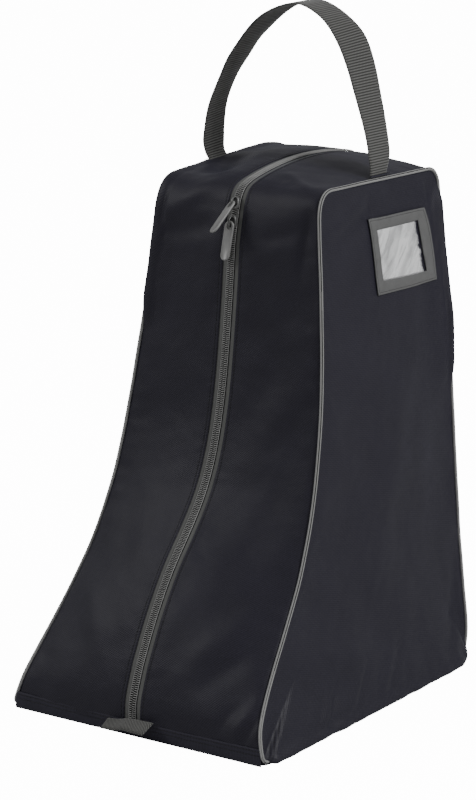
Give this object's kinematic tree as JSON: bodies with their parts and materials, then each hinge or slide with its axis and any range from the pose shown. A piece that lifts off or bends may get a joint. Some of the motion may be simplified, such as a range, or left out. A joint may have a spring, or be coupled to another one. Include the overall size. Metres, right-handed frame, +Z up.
{
  "type": "riding boot bag",
  "caption": "Boot-shaped bag with piped side panels, a two-way zip over the front and top, a webbing grab handle and an ID window.",
  "frame": {"origin": "centre of the bag's footprint, on the surface that it stands on", "axes": "+X to the side with the ID window, -Y to the toe and the lower part of the zip, +Z up"},
  "size_m": [0.2834, 0.3774, 0.6299],
  "materials": {
    "shell_cloth": "matte woven polyester",
    "binding_cloth": "matte woven binding",
    "base_board": "matte",
    "piping_cord": "smooth covered cord",
    "zip_tape": "woven tape",
    "zip_coil": "satin nylon coil",
    "webbing": "ribbed webbing",
    "label_frame": "grained coated fabric",
    "clear_film": "clear glossy film",
    "label_card": "smooth card",
    "slider_metal": "satin",
    "puller_metal": "satin"
  },
  "bodies": {
    "shell": {"side_panel_left": "shell_cloth", "side_panel_right": "shell_cloth", "back_panel": "shell_cloth", "base_panel": "shell_cloth", "base_board": "base_board", "toe_binding": "binding_cloth", "piping_left": "piping_cord", "piping_right": "piping_cord", "zip_tab_front": "webbing", "zip_tab_back": "webbing", "handle_anchor_left": "webbing", "handle_anchor_right": "webbing", "id_frame": "label_frame", "id_window": "clear_film", "id_card": "label_card", "toe_gusset_left": "shell_cloth", "toe_gusset_right": "shell_cloth", "toe_zip_tape_left": "zip_tape", "toe_zip_tape_right": "zip_tape", "toe_zip_coil_left": "zip_coil", "toe_zip_coil_right": "zip_coil"},
    "front_flap_left": {"front_gusset_left": "shell_cloth", "front_zip_tape_left": "zip_tape", "front_zip_coil_left": "zip_coil"},
    "top_flap_left": {"top_gusset_left": "shell_cloth", "top_zip_tape_left": "zip_tape", "top_zip_coil_left": "zip_coil"},
    "front_flap_right": {"front_gusset_right": "shell_cloth", "front_zip_tape_right": "zip_tape", "front_zip_coil_right": "zip_coil"},
    "top_flap_right": {"top_gusset_right": "shell_cloth", "top_zip_tape_right": "zip_tape", "top_zip_coil_right": "zip_coil"},
    "lower_slider": {"slider_lower": "slider_metal"},
    "upper_slider": {"slider_upper": "slider_metal"},
    "lower_puller": {"puller_lower": "puller_metal"},
    "upper_puller": {"puller_upper": "puller_metal"},
    "handle": {"handle": "webbing"}
  },
  "joints": [
    {"name": "lower_zip", "type": "hinge", "parent": "shell", "child": "lower_slider", "pos_m": [0, -1.65551, 0.85166], "axis": [1, 0, 0], "range_deg": [-14, 0]},
    {"name": "upper_zip", "type": "hinge", "parent": "shell", "child": "upper_slider", "pos_m": [0, 0.09281, 0.26539], "axis": [1, 0, 0], "range_deg": [-46, 0]},
    {"name": "front_open_left", "type": "hinge", "parent": "shell", "child": "front_flap_left", "pos_m": [-0.1112, -0.06, 0.207], "axis": [0.0871, 0.1556, 0.984], "range_deg": [-70, 0], "deforming": ["toe_zip_tape_left", "toe_zip_coil_left", "front_zip_tape_left", "front_zip_coil_left"]},
    {"name": "front_open_right", "type": "hinge", "parent": "shell", "child": "front_flap_right", "pos_m": [0.1112, -0.06, 0.207], "axis": [-0.0871, 0.1556, 0.984], "range_deg": [0, 70], "deforming": ["toe_zip_tape_right", "toe_zip_coil_right", "front_zip_tape_right", "front_zip_coil_right"]},
    {"name": "top_open_left", "type": "hinge", "parent": "shell", "child": "top_flap_left", "pos_m": [-0.0868, 0.07, 0.4735], "axis": [0, 1, 0], "range_deg": [-28, 0], "deforming": ["top_zip_tape_left", "top_zip_coil_left"]},
    {"name": "top_open_right", "type": "hinge", "parent": "shell", "child": "top_flap_right", "pos_m": [0.0868, 0.07, 0.4735], "axis": [0, 1, 0], "range_deg": [0, 28], "deforming": ["top_zip_tape_right", "top_zip_coil_right"]},
    {"name": "lower_pull", "type": "hinge", "parent": "lower_slider", "child": "lower_puller", "pos_m": [0, -0.02988, 0.44191], "axis": [1, 0, 0], "range_deg": [-45, 0]},
    {"name": "upper_pull", "type": "hinge", "parent": "upper_slider", "child": "upper_puller", "pos_m": [0, -0.02563, 0.45935], "axis": [1, 0, 0], "range_deg": [-140, 18]},
    {"name": "handle_swing", "type": "hinge", "parent": "shell", "child": "handle", "pos_m": [0, 0.084, 0.476], "axis": [1, 0, 0], "range_deg": [-36, 36]}
  ],
  "couplings": [
    {"joint": "front_open_right", "follows": "lower_zip", "ratio": -4.98},
    {"joint": "front_open_left", "follows": "lower_zip", "ratio": 4.98},
    {"joint": "top_open_right", "follows": "upper_zip", "ratio": -0.6},
    {"joint": "top_open_left", "follows": "upper_zip", "ratio": 0.6}
  ]
}
